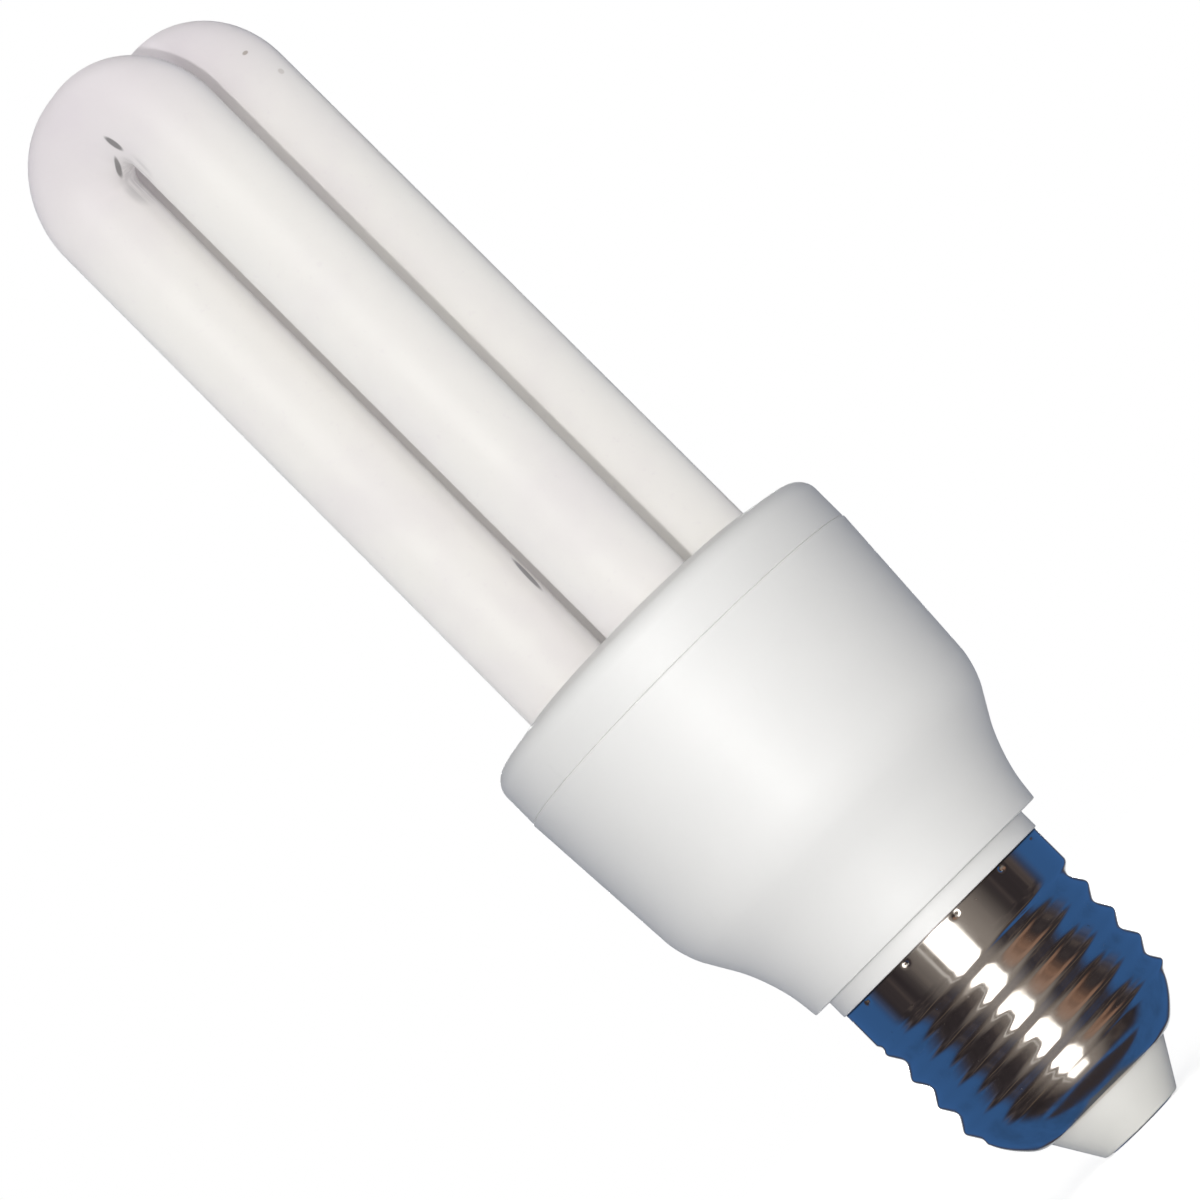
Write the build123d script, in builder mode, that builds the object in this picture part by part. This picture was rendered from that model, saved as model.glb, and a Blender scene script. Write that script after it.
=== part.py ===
from build123d import *
from math import sqrt
import os

# Compact fluorescent lamp: two U-shaped discharge tubes, a plastic housing with the ballast in it,
# and a screw cap of the E27 size. All sizes are in millimetres.
# The lamp axis is Z, with the cap down. The origin is the outer face of the centre contact.
# Each U lies in a plane parallel to XZ, one at each side of the axis along Y.

os.makedirs("parts", exist_ok=True)

# Heights of the visible stretches, from the contact upwards
contact_proud = 0.15
insulator_height = 4.75
shell_height = 23.0
collar_height = 2.1
housing_height = 33.0
cover_height = 6.8
tube_standing_height = 78.1

# Screw cap: sheet metal with a rolled right-hand thread
sheet_thickness = 0.3
thread_pitch = 3.629
thread_crest_radius = 13.05
thread_root_radius = 12.15
thread_crest_width = 0.7
thread_flank_width = 1.2
band_radius = 13.1
band_height = 4.2
band_flare_height = 0.8
mouth_radius = 8.7
shoulder_drop_height = 4.3
shell_bulge = 0.25
thread_phase_height = 4.44
thread_fade_height = 1.7

# Insulator and centre contact at the end of the cap
insulator_end_radius = 4.9
insulator_neck_radius = 7.8
insulator_disc_radius = 8.5
insulator_disc_height = 2.6
insulator_fit = 0.05
contact_radius = 4.2
contact_recess = 0.5
contact_shank_radius = 1.2
contact_shank_length = 4.0
contact_fit = 0.05

# Ballast housing: neck, collar and bell-shaped shell in one moulding
wall = 1.6
collar_radius = 13.35
neck_fit = 0.05
neck_wall = 1.4
neck_length = 13.0
foot_radius = 15.2
waist_radius = 15.86
waist_height = 5.5
waist_round = 20.0
shoulder_radius = 20.46
shoulder_height = 13.3
shoulder_round = 11.0
rim_radius = 21.75
floor_thickness = 1.5

# Tube cover: shallow cap that snaps into the rim of the housing
cover_step = 0.1
cover_edge_drop = 1.2
cover_slope_width = 6.15
cover_corner_round = 2.2
cover_top_round = 5.0
cover_plate = 2.5
spigot_length = 4.0
spigot_wall = 1.4
spigot_clearance = 0.1
rebate_clearance = 0.2
rim_lip = 1.2

# Discharge tubes
tube_radius = 5.35
leg_pitch = 13.8
u_pitch = 13.8
bend_radius = 6.2
tube_depth = 13.6
tube_foot_round = 1.6
tube_clearance = 0.15
bridge_radius = 1.9
bridge_height = 3.0
seal_length = 1.6
seal_width = 5.0
seal_thickness = 1.8
lead_spread = 1.6
lead_drop = 0.5
cement_depth = 3.0

# Circuit board and its supports
board_drop = 11.3
board_thickness = 1.6
board_clearance = 0.4
rib_count = 6
rib_height = 6.0
rib_thickness = 1.4
rib_ledge = 1.5
pin_side = 0.8
pin_height = 4.0
pin_clearance = 0.05
pin_places = [(-15.0, -5.5), (-15.0, 5.5), (-8.0, -14.0), (-8.0, 14.0)]
lead_radius = 0.25
wire_radius = 0.5
wire_clearance = 0.1
wire_bend = 1.5
wire_turn_drop = 2.0

# Parts on the underside of the board
capacitor_place = (-5.5, 0.0)
capacitor_radius = 5.0
capacitor_length = 18.0
capacitor_round = 0.6
crimp_depth = 0.4
crimp_height = 2.2
choke_place = (8.0, 0.0)
core_width = 13.0
core_depth = 5.0
core_height = 12.0
core_leg = 2.2
core_centre_leg = 3.6
bobbin_wall = 0.6
bobbin_flange = 0.8
bobbin_clearance = 0.1
bobbin_overhang = 2.4
winding_inset = 0.3
ring_place = (-2.0, 11.8)
ring_outer_radius = 4.4
ring_inner_radius = 2.4
ring_height = 3.6
ring_wire = 0.5
ring_coil_count = 3
ring_coil_angle = 40.0
transistor_places = [(8.8, 9.8), (8.8, -9.8)]
transistor_radius = 2.4
transistor_flat = 1.3
transistor_height = 4.6
transistor_leg_length = 2.0
transistor_leg_side = 0.45
transistor_leg_pitch = 1.27
resonant_place = (-5.0, -11.2)
resonant_size = (9.0, 4.2, 8.0)
coupling_place = (-14.0, 0.0)
coupling_size = (4.0, 8.6, 8.0)
film_round = 0.8
diode_place = (-10.95, 9.6)
diode_pitch = 3.3
diode_radius = 1.35
diode_length = 5.2
resistor_places = [(16.2, 3.0), (16.2, -3.0), (13.4, 9.2)]
resistor_radius = 1.1
resistor_length = 5.0
fuse_place = (-12.4, -9.0)
fuse_radius = 1.5
fuse_length = 7.0
trigger_place = (13.7, -8.6)
trigger_radius = 1.0
trigger_length = 4.0
component_leg_radius = 0.3
component_leg_length = 1.0
inductor_place = (3.0, -11.2)
inductor_radius = 2.8
inductor_waist_radius = 1.4
inductor_height = 7.0
inductor_flange = 1.0
live_wire_place = (0.0, -6.6)
neutral_wire_place = (1.2, 6.9)

# Levels that follow from the heights
shell_z = contact_proud + insulator_height
collar_z = shell_z + shell_height
housing_z = collar_z + collar_height
cover_z = housing_z + housing_height
cover_top_z = cover_z + cover_height
tip_z = cover_top_z + tube_standing_height
band_z = collar_z - band_height
thread_bottom_z = shell_z + shoulder_drop_height
neck_end_z = collar_z - neck_length
tube_foot_z = cover_top_z - tube_depth
plate_under_z = cover_top_z - cover_plate
board_z = cover_z - board_drop
board_top_z = board_z + board_thickness
core_z = board_z - core_height
disc_z = shell_z + sheet_thickness
disc_top_z = disc_z + insulator_disc_height

# Radii that follow from the fits
band_bore_radius = band_radius - sheet_thickness
thread_bore_radius = thread_root_radius - sheet_thickness
neck_radius = thread_bore_radius - neck_fit
neck_bore_radius = neck_radius - neck_wall
cover_radius = rim_radius - cover_step
cover_flat_radius = cover_radius - cover_slope_width
spigot_radius = rim_radius - rim_lip - spigot_clearance
cavity_radius = spigot_radius - spigot_wall


def housing_outline(inset):
    """Corners of the bell, from its foot to its rim, moved inwards by inset."""
    return [
        (foot_radius - inset, housing_z),
        (waist_radius - inset, housing_z + waist_height),
        (shoulder_radius - inset, housing_z + shoulder_height),
        (rim_radius - inset, cover_z),
    ]


def bell_radius(z):
    """Outer radius of the housing at a height between its shoulder and its rim."""
    share = (cover_z - z) / (housing_height - shoulder_height)
    return rim_radius - share * (rim_radius - shoulder_radius)


board_radius = bell_radius(board_z) - wall - board_clearance


# Screw shell: a turned wall of sheet metal, and the thread as a swept ridge that fades out at both ends
hem_radius = insulator_neck_radius + insulator_fit
flare_z = band_z - band_flare_height
bulge_radius = (mouth_radius + thread_root_radius) / 2 + shell_bulge
bulge_z = shell_z + shoulder_drop_height / 2 - shell_bulge

with BuildPart() as shell_wall:
    with BuildSketch(Plane.XZ):
        with BuildLine():
            ThreePointArc(
                (mouth_radius, shell_z), (bulge_radius, bulge_z), (thread_root_radius, thread_bottom_z)
            )
            Polyline(
                (thread_root_radius, thread_bottom_z),
                (thread_root_radius, flare_z),
                (band_radius, band_z),
                (band_radius, collar_z),
                (band_bore_radius, collar_z),
                (band_bore_radius, band_z + sheet_thickness / 2),
                (thread_bore_radius, flare_z + sheet_thickness / 2),
                (thread_bore_radius, thread_bottom_z),
                (bulge_radius - sheet_thickness, bulge_z + sheet_thickness / 2),
                (mouth_radius - sheet_thickness / 2, shell_z + sheet_thickness),
                (hem_radius, shell_z + sheet_thickness),
                (hem_radius, shell_z),
                (mouth_radius, shell_z),
            )
        make_face()
    revolve(axis=Axis.Z)

with BuildPart() as thread_ridge:
    ridge_start_z = shell_z + thread_phase_height - thread_pitch
    ridge_height = band_z + thread_flank_width - ridge_start_z
    ridge_base = 2 * sheet_thickness
    base_half = thread_crest_width / 2 + thread_flank_width
    crest_rise = thread_crest_radius - thread_root_radius
    with BuildLine() as ridge_path:
        Helix(thread_pitch, ridge_height, thread_root_radius, center=(0, 0, ridge_start_z))
    with BuildSketch(Plane(ridge_path.line @ 0, x_dir=(1, 0, 0), z_dir=ridge_path.line % 0)):
        with BuildLine():
            Polyline(
                (-ridge_base, -base_half),
                (0, -base_half),
                (crest_rise, -thread_crest_width / 2),
                (crest_rise, thread_crest_width / 2),
                (0, base_half),
                (-ridge_base, base_half),
                close=True,
            )
        make_face()
    sweep(path=ridge_path.line, is_frenet=True)
    with BuildSketch(Plane.XZ):
        with BuildLine():
            Polyline(
                (thread_root_radius - sheet_thickness / 2, thread_bottom_z - thread_fade_height / 2),
                (thread_root_radius, thread_bottom_z - thread_fade_height / 2),
                (thread_crest_radius + sheet_thickness, thread_bottom_z + thread_fade_height),
                (thread_crest_radius + sheet_thickness, band_z + sheet_thickness),
                (thread_root_radius - sheet_thickness / 2, band_z + sheet_thickness),
                close=True,
            )
        make_face()
    revolve(axis=Axis.Z, mode=Mode.INTERSECT)

threaded_wall = shell_wall.part + thread_ridge.part

with BuildPart() as screw_shell:
    add(threaded_wall)

# Insulator: a truncated cone outside the shell, and a disc that seats on the shell's hem inside
with BuildPart() as base_insulator:
    with BuildSketch(Plane.XZ):
        with BuildLine():
            Polyline(
                (0, contact_proud),
                (insulator_end_radius, contact_proud),
                (insulator_neck_radius, shell_z),
                (insulator_neck_radius, disc_z),
                (insulator_disc_radius, disc_z),
                (insulator_disc_radius, disc_top_z),
                (0, disc_top_z),
                close=True,
            )
        make_face()
    revolve(axis=Axis.Z)
    with BuildSketch(Plane.XY.offset(contact_proud)):
        Circle(contact_radius + contact_fit)
    extrude(amount=contact_recess, mode=Mode.SUBTRACT)
    with BuildSketch(Plane.XY.offset(contact_proud)):
        Circle(contact_shank_radius + contact_fit)
    extrude(amount=disc_top_z - contact_proud, mode=Mode.SUBTRACT)

# Centre contact: a pressed pin with a flat head
with BuildPart() as centre_contact:
    head_height = contact_proud + contact_recess
    with BuildSketch():
        Circle(contact_radius)
    extrude(amount=head_height)
    with BuildSketch(Plane.XY.offset(head_height)):
        Circle(contact_shank_radius)
    extrude(amount=contact_shank_length)
    chamfer(centre_contact.faces().sort_by(Axis.Z)[0].edges(), contact_proud / 2)

# Ballast housing
with BuildPart() as ballast_housing:
    with BuildSketch(Plane.XZ):
        with BuildLine():
            bell = FilletPolyline(*housing_outline(0), radius=[waist_round, shoulder_round])
            Polyline(
                bell @ 1,
                (0, cover_z),
                (0, neck_end_z),
                (neck_radius, neck_end_z),
                (neck_radius, band_z + sheet_thickness),
                (band_bore_radius - neck_fit, band_z + sheet_thickness + neck_fit),
                (band_bore_radius - neck_fit, collar_z),
                (collar_radius, collar_z),
                (collar_radius, housing_z),
                bell @ 0,
            )
        make_face()
    revolve(axis=Axis.Z)
    with BuildSketch(Plane.XZ):
        with BuildLine():
            foot, waist, shoulder = housing_outline(wall)[:3]
            floor_z = housing_z + floor_thickness
            rebate_z = cover_z - spigot_length - rebate_clearance
            Polyline(
                (0, neck_end_z),
                (neck_bore_radius, neck_end_z),
                (neck_bore_radius, floor_z),
                (foot[0], floor_z),
                waist,
                shoulder,
                (bell_radius(rebate_z) - wall, rebate_z),
                (rim_radius - rim_lip, rebate_z),
                (rim_radius - rim_lip, cover_z),
                (0, cover_z),
                close=True,
            )
        make_face()
    revolve(axis=Axis.Z, mode=Mode.SUBTRACT)
    with BuildSketch(Plane.XY.offset(board_z - rib_height)):
        with PolarLocations(board_radius - rib_ledge, rib_count):
            rib_reach = rib_ledge + board_clearance + wall / 2
            Rectangle(rib_reach, rib_thickness, align=(Align.MIN, Align.CENTER))
    extrude(amount=rib_height)

# Tube cover with four tube holes
with BuildPart() as tube_cover:
    with BuildSketch(Plane.XZ):
        with BuildLine():
            top = FilletPolyline(
                (cover_radius, cover_z),
                (cover_radius, cover_top_z - cover_edge_drop),
                (cover_flat_radius, cover_top_z),
                (0, cover_top_z),
                radius=[cover_corner_round, cover_top_round],
            )
            Polyline(
                top @ 1,
                (0, plate_under_z),
                (cavity_radius, plate_under_z),
                (cavity_radius, cover_z - spigot_length),
                (spigot_radius, cover_z - spigot_length),
                (spigot_radius, cover_z),
                top @ 0,
            )
        make_face()
    revolve(axis=Axis.Z)
    with BuildSketch(Plane.XY.offset(plate_under_z)):
        with GridLocations(leg_pitch, u_pitch, 2, 2):
            Circle(tube_radius + tube_clearance)
    extrude(amount=cover_plate, mode=Mode.SUBTRACT)

# Cement that holds the tube ends under the cover's plate
with BuildPart() as tube_cement:
    with BuildSketch(Plane.XY.offset(plate_under_z - cement_depth)):
        Circle(cavity_radius)
        with GridLocations(leg_pitch, u_pitch, 2, 2):
            Circle(tube_radius, mode=Mode.SUBTRACT)
    extrude(amount=cement_depth)

# Discharge tube: one quarter is modelled and mirrored, then the bridge joins the two Us
with BuildPart() as discharge_tube:
    bend_z = tip_z - tube_radius - bend_radius
    bend_x = leg_pitch / 2 - bend_radius
    with BuildSketch(Plane.XY.offset(tube_foot_z)):
        with Locations((leg_pitch / 2, u_pitch / 2)):
            Circle(tube_radius)
    extrude(amount=bend_z - tube_foot_z)
    fillet(discharge_tube.faces().sort_by(Axis.Z)[0].edges(), tube_foot_round)
    with BuildSketch(Plane.XY.offset(bend_z)):
        with Locations((leg_pitch / 2, u_pitch / 2)):
            Circle(tube_radius)
        with Locations((bend_x, u_pitch / 2)):
            Rectangle(
                2 * tube_radius, 3 * tube_radius, align=(Align.MAX, Align.CENTER), mode=Mode.SUBTRACT
            )
    revolve(axis=Axis((bend_x, 0, bend_z), (0, -1, 0)), revolution_arc=90)
    with BuildSketch(Plane.YZ.offset(bend_x)):
        with Locations((u_pitch / 2, bend_z + bend_radius)):
            Circle(tube_radius)
    extrude(amount=-bend_x)
    mirror(about=Plane.YZ)
    mirror(about=Plane.XZ)
    with BuildSketch(Plane.XZ):
        with Locations((leg_pitch / 2, tube_foot_z + bridge_height)):
            Circle(bridge_radius)
    extrude(amount=u_pitch / 2, both=True)
    with BuildSketch(Plane.XY.offset(tube_foot_z)):
        with Locations((-leg_pitch / 2, u_pitch / 2), (-leg_pitch / 2, -u_pitch / 2)):
            Rectangle(seal_thickness, seal_width)
    extrude(amount=-seal_length)

# Circuit board, with holes for the pins and for the two supply wires
with BuildPart() as circuit_board:
    with BuildSketch(Plane.XY.offset(board_z)):
        Circle(board_radius)
        with Locations(*pin_places):
            Rectangle(pin_side + 2 * pin_clearance, pin_side + 2 * pin_clearance, mode=Mode.SUBTRACT)
        with Locations(live_wire_place, neutral_wire_place):
            Circle(wire_radius + wire_clearance, mode=Mode.SUBTRACT)
    extrude(amount=board_thickness)

# Square pins for the electrode leads
with BuildPart() as lead_pins:
    with BuildSketch(Plane.XY.offset(board_z)):
        with Locations(*pin_places):
            Rectangle(pin_side, pin_side)
    extrude(amount=board_thickness + pin_height)


def electrode_lead(pin, side):
    """Path of one lead: out of the seal of the leg at that side, then across to the top of its pin."""
    pin_x, pin_y = pin
    spread = lead_spread if abs(pin_y) > u_pitch / 2 else -lead_spread
    seal_x = -leg_pitch / 2
    seal_y = side * (u_pitch / 2 + spread)
    drop_z = tube_foot_z - seal_length - lead_drop
    start = Vector(seal_x, seal_y, tube_foot_z - seal_length)
    turn = Vector(seal_x, seal_y, drop_z)
    reach = Vector(pin_x, pin_y, drop_z) - turn
    end = turn + reach * (1 - (pin_side / 2 + lead_radius) / reach.length)
    return start, turn, end


# Electrode leads: short stiff wires from the seals to the pins
with BuildPart() as electrode_leads:
    for pin_place in pin_places:
        lead_side = 1 if pin_place[1] > 0 else -1
        lead_start, lead_turn, lead_end = electrode_lead(pin_place, lead_side)
        with BuildLine() as lead_path:
            Polyline(lead_start, lead_turn, lead_end)
        with BuildSketch(Plane(lead_start, z_dir=(0, 0, -1))):
            Circle(lead_radius)
        sweep(path=lead_path.line, transition=Transition.RIGHT)

# Storage capacitor: a can with a crimp near the board
with BuildPart() as storage_capacitor:
    can_x, can_y = capacitor_place
    with BuildSketch(Plane((can_x, can_y, 0), x_dir=(1, 0, 0), z_dir=(0, -1, 0))):
        with BuildLine():
            can = FilletPolyline(
                (0, board_z - capacitor_length),
                (capacitor_radius, board_z - capacitor_length),
                (capacitor_radius, board_z - crimp_height - crimp_depth),
                radius=capacitor_round,
            )
            Polyline(
                can @ 1,
                (capacitor_radius - crimp_depth, board_z - crimp_height),
                (capacitor_radius, board_z - crimp_height + crimp_depth),
                (capacitor_radius, board_z),
                (0, board_z),
                can @ 0,
            )
        make_face()
    revolve(axis=Axis((can_x, can_y, 0), (0, 0, 1)))

# Choke: an E-core pair round an upright bobbin
window_height = core_height - 2 * core_leg
window_width = (core_width - core_centre_leg) / 2 - core_leg
choke_plane = Plane((choke_place[0], choke_place[1], core_z + core_leg))

with BuildPart() as choke_core:
    with BuildSketch(choke_plane.offset(-core_leg)):
        Rectangle(core_width, core_depth)
    extrude(amount=core_height)
    with BuildSketch(choke_plane):
        with GridLocations(core_centre_leg + window_width, 0, 2, 1):
            Rectangle(window_width, core_depth)
    extrude(amount=window_height, mode=Mode.SUBTRACT)

with BuildPart() as choke_bobbin:
    bobbin_height = window_height - 2 * bobbin_clearance
    bore_x = core_centre_leg + 2 * bobbin_clearance
    bore_y = core_depth + 2 * bobbin_clearance
    flange_x = core_centre_leg + 2 * (window_width - bobbin_clearance)
    flange_y = core_depth + 2 * bobbin_overhang
    with BuildSketch(choke_plane.offset(bobbin_clearance)):
        Rectangle(bore_x + 2 * bobbin_wall, bore_y + 2 * bobbin_wall)
    extrude(amount=bobbin_height)
    for flange_lift in (0, bobbin_height - bobbin_flange):
        with BuildSketch(choke_plane.offset(bobbin_clearance + flange_lift)):
            Rectangle(flange_x, flange_y)
        extrude(amount=bobbin_flange)
    with BuildSketch(choke_plane.offset(bobbin_clearance)):
        Rectangle(bore_x, bore_y)
    extrude(amount=bobbin_height, mode=Mode.SUBTRACT)

with BuildPart() as choke_winding:
    with BuildSketch(choke_plane.offset(bobbin_clearance + bobbin_flange)):
        RectangleRounded(flange_x - 2 * winding_inset, flange_y - 2 * winding_inset, bobbin_wall)
        Rectangle(bore_x + 2 * bobbin_wall, bore_y + 2 * bobbin_wall, mode=Mode.SUBTRACT)
    extrude(amount=bobbin_height - 2 * bobbin_flange)

# Drive transformer: a ferrite ring with three small coils
ring_z = board_z - ring_wire - ring_height

with BuildPart() as drive_ring:
    with BuildSketch(Plane.XY.offset(ring_z)):
        with Locations(ring_place):
            Circle(ring_outer_radius)
            Circle(ring_inner_radius, mode=Mode.SUBTRACT)
    extrude(amount=ring_height)

with BuildPart() as one_coil:
    with BuildSketch(Plane.XZ):
        with Locations(((ring_outer_radius + ring_inner_radius) / 2, ring_height / 2)):
            ring_thickness = ring_outer_radius - ring_inner_radius
            Rectangle(ring_thickness + 2 * ring_wire, ring_height + 2 * ring_wire)
            Rectangle(ring_thickness, ring_height, mode=Mode.SUBTRACT)
    revolve(axis=Axis.Z, revolution_arc=ring_coil_angle)

with BuildPart() as drive_coils:
    with Locations((ring_place[0], ring_place[1], ring_z)):
        with PolarLocations(0, ring_coil_count):
            add(one_coil.part)

# Power transistors: half-round bodies on three legs
with BuildPart() as power_transistors:
    transistor_z = board_z - transistor_leg_length
    with BuildSketch(Plane.XY.offset(transistor_z)):
        with Locations(*transistor_places):
            Circle(transistor_radius)
            with Locations((0, transistor_flat)):
                Rectangle(
                    2 * transistor_radius,
                    transistor_radius,
                    align=(Align.CENTER, Align.MIN),
                    mode=Mode.SUBTRACT,
                )
    extrude(amount=-transistor_height)
    with BuildSketch(Plane.XY.offset(transistor_z)):
        with Locations(*transistor_places):
            with GridLocations(transistor_leg_pitch, 0, 3, 1):
                Rectangle(transistor_leg_side, transistor_leg_side)
    extrude(amount=transistor_leg_length)


def film_block(place, size):
    """A dipped film capacitor: a block with rounded upright edges that stands on the board."""
    with BuildPart() as block:
        with BuildSketch(Plane.XY.offset(board_z)):
            with Locations(place):
                RectangleRounded(size[0], size[1], film_round)
        extrude(amount=-size[2])
    return block


def standing_parts(places, radius, length):
    """Round parts that stand on end under the board, each on one straight leg."""
    with BuildPart() as group:
        with BuildSketch(Plane.XY.offset(board_z)):
            with Locations(*places):
                Circle(component_leg_radius)
        extrude(amount=-component_leg_length)
        with BuildSketch(Plane.XY.offset(board_z - component_leg_length)):
            with Locations(*places):
                Circle(radius)
        extrude(amount=-length)
    return group


resonant_capacitor = film_block(resonant_place, resonant_size)
coupling_capacitor = film_block(coupling_place, coupling_size)

diode_places = [
    (diode_place[0] + across * diode_pitch / 2, diode_place[1] + along * diode_pitch / 2)
    for across in (-1, 1)
    for along in (-1, 1)
]
rectifier_diodes = standing_parts(diode_places, diode_radius, diode_length)
resistors = standing_parts(resistor_places, resistor_radius, resistor_length)
fuse_resistor = standing_parts([fuse_place], fuse_radius, fuse_length)
trigger_diode = standing_parts([trigger_place], trigger_radius, trigger_length)

# Filter inductor: a drum core with its winding
with BuildPart() as filter_inductor:
    drum_x, drum_y = inductor_place
    drum_z = board_z - inductor_height
    with BuildSketch(Plane((drum_x, drum_y, drum_z), x_dir=(1, 0, 0), z_dir=(0, -1, 0))):
        with BuildLine():
            Polyline(
                (0, 0),
                (inductor_radius, 0),
                (inductor_radius, inductor_flange),
                (inductor_waist_radius, inductor_flange),
                (inductor_waist_radius, inductor_height - inductor_flange),
                (inductor_radius, inductor_height - inductor_flange),
                (inductor_radius, inductor_height),
                (0, inductor_height),
                close=True,
            )
        make_face()
    revolve(axis=Axis((drum_x, drum_y, 0), (0, 0, 1)))

with BuildPart() as inductor_winding:
    with BuildSketch(Plane.XY.offset(drum_z + inductor_flange)):
        with Locations(inductor_place):
            Circle(inductor_radius - winding_inset)
            Circle(inductor_waist_radius, mode=Mode.SUBTRACT)
    extrude(amount=inductor_height - 2 * inductor_flange)


def supply_wire(*points):
    """A round wire from the board's top side along straight runs with one bend radius."""
    with BuildPart() as wire:
        with BuildLine() as wire_path:
            FilletPolyline(*points, radius=wire_bend)
        with BuildSketch(Plane(points[0], z_dir=(0, 0, -1))):
            Circle(wire_radius)
        sweep(path=wire_path.line)
    return wire


# Supply wires: live to the top of the contact's shank, neutral to the inside of the screw shell
shank_top_z = contact_proud + contact_recess + contact_shank_length
cap_turn_z = neck_end_z - wire_turn_drop
live_x, live_y = live_wire_place
live_wire = supply_wire(
    (live_x, live_y, board_top_z),
    (live_x, live_y, cap_turn_z),
    (0, 0, disc_top_z + wire_bend),
    (0, 0, shank_top_z),
)
neutral_x, neutral_y = neutral_wire_place
neutral_reach = sqrt((thread_bore_radius - wire_clearance) ** 2 - (abs(neutral_x) + wire_radius) ** 2)
neutral_wire = supply_wire(
    (neutral_x, neutral_y, board_top_z),
    (neutral_x, neutral_y, cap_turn_z),
    (neutral_x, neutral_reach, cap_turn_z),
)

pieces = {
    "screw_shell": screw_shell,
    "base_insulator": base_insulator,
    "centre_contact": centre_contact,
    "ballast_housing": ballast_housing,
    "tube_cover": tube_cover,
    "tube_cement": tube_cement,
    "discharge_tube": discharge_tube,
    "circuit_board": circuit_board,
    "lead_pins": lead_pins,
    "electrode_leads": electrode_leads,
    "storage_capacitor": storage_capacitor,
    "choke_core": choke_core,
    "choke_bobbin": choke_bobbin,
    "choke_winding": choke_winding,
    "drive_ring": drive_ring,
    "drive_coils": drive_coils,
    "power_transistors": power_transistors,
    "resonant_capacitor": resonant_capacitor,
    "coupling_capacitor": coupling_capacitor,
    "rectifier_diodes": rectifier_diodes,
    "resistors": resistors,
    "fuse_resistor": fuse_resistor,
    "trigger_diode": trigger_diode,
    "filter_inductor": filter_inductor,
    "inductor_winding": inductor_winding,
    "live_wire": live_wire,
    "neutral_wire": neutral_wire,
}

for name, piece in pieces.items():
    piece.part.label = name
    export_step(piece.part, f"parts/{name}.step")
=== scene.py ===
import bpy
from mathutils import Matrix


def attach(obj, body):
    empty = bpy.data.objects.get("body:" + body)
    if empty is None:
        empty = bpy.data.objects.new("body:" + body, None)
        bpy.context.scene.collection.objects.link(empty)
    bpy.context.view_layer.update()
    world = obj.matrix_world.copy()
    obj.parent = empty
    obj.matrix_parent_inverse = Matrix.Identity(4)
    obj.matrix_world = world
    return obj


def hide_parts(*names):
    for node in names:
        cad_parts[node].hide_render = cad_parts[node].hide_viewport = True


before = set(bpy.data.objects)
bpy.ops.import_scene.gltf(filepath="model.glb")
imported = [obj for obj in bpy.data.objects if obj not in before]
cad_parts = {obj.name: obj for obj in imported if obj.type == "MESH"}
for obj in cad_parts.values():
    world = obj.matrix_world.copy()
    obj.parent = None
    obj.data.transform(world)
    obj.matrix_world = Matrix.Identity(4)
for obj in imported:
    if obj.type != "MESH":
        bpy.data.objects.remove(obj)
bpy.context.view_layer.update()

from functools import reduce
from math import atan2, cos, exp, hypot, pi, radians, sin, sqrt
from operator import or_

import bmesh
import bpy
from mathutils import Matrix, Quaternion, Vector

bl_info = {
    "name": "Compact Fluorescent Lamp",
    "version": (1, 0, 0),
    "blender": (4, 5, 0),
    "location": "3D View > Sidebar > Lamp",
    "description": "Dresses the packed lamp with its glass, mouldings and screw shell, and sets its stage",
    "category": "Object",
}

MM = 0.001
MERGE_DISTANCE = 1e-6
SHARP_ANGLE = radians(32)


def length(name, description, millimetres):
    """A length property with its default given in millimetres."""
    return bpy.props.FloatProperty(
        name=name,
        description=description,
        default=millimetres * MM,
        min=0.0,
        precision=5,
        unit="LENGTH",
        subtype="DISTANCE",
    )


def angle(name, description, degrees):
    """An angle property with its default given in degrees."""
    return bpy.props.FloatProperty(
        name=name, description=description, default=radians(degrees), unit="ROTATION", subtype="ANGLE"
    )


def amount(name, description, value):
    """A plain number that isn't negative."""
    return bpy.props.FloatProperty(name=name, description=description, default=value, min=0.0)


def colour(name, description, red, green, blue):
    """A linear colour property."""
    return bpy.props.FloatVectorProperty(
        name=name,
        description=description,
        default=(red, green, blue),
        min=0.0,
        max=1.0,
        subtype="COLOR",
    )


class LampTubeSettings(bpy.types.PropertyGroup):
    radius: length("Tube radius", "Outer radius of the glass tube", 5.35)
    leg_pitch: length("Leg pitch", "Distance between the two legs of one U", 13.8)
    u_pitch: length("U pitch", "Distance between the two Us", 13.8)
    bend_radius: length("Bend radius", "Radius of the centre line in the arch", 6.2)
    tip_z: length("Tip height", "Top of the arches above the contact", 147.9)
    foot_z: length("Foot height", "Lower end of the glass, inside the housing", 56.2)
    foot_round: length("Foot round", "Rounding at the lower end of each leg", 1.6)
    bridge_radius: length("Bridge radius", "Radius of the tube that joins the two Us", 1.9)
    bridge_lift: length("Bridge lift", "Height of the bridge above the foot", 3.0)
    seal_length: length("Seal length", "Pinched glass below the legs that carry leads", 1.6)
    seal_width: length("Seal width", "Width of the pinched glass", 5.0)
    seal_thickness: length("Seal thickness", "Thickness of the pinched glass", 1.8)
    mark_turn: angle("Mark turn", "Turn round Z of the side where the creases are", 34.0)
    # Height below the tips over which a painted lilac shade darkens the arches
    painted_shade_height: length("Cast height", "Glass below the tips that takes the lilac cast", 22.0)
    glow_radius: length("Glow radius", "Reach of the glow between the legs", 7.6)
    glow_core: length("Glow core", "Distance from the axis at which the glow is full", 6.2)


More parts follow.
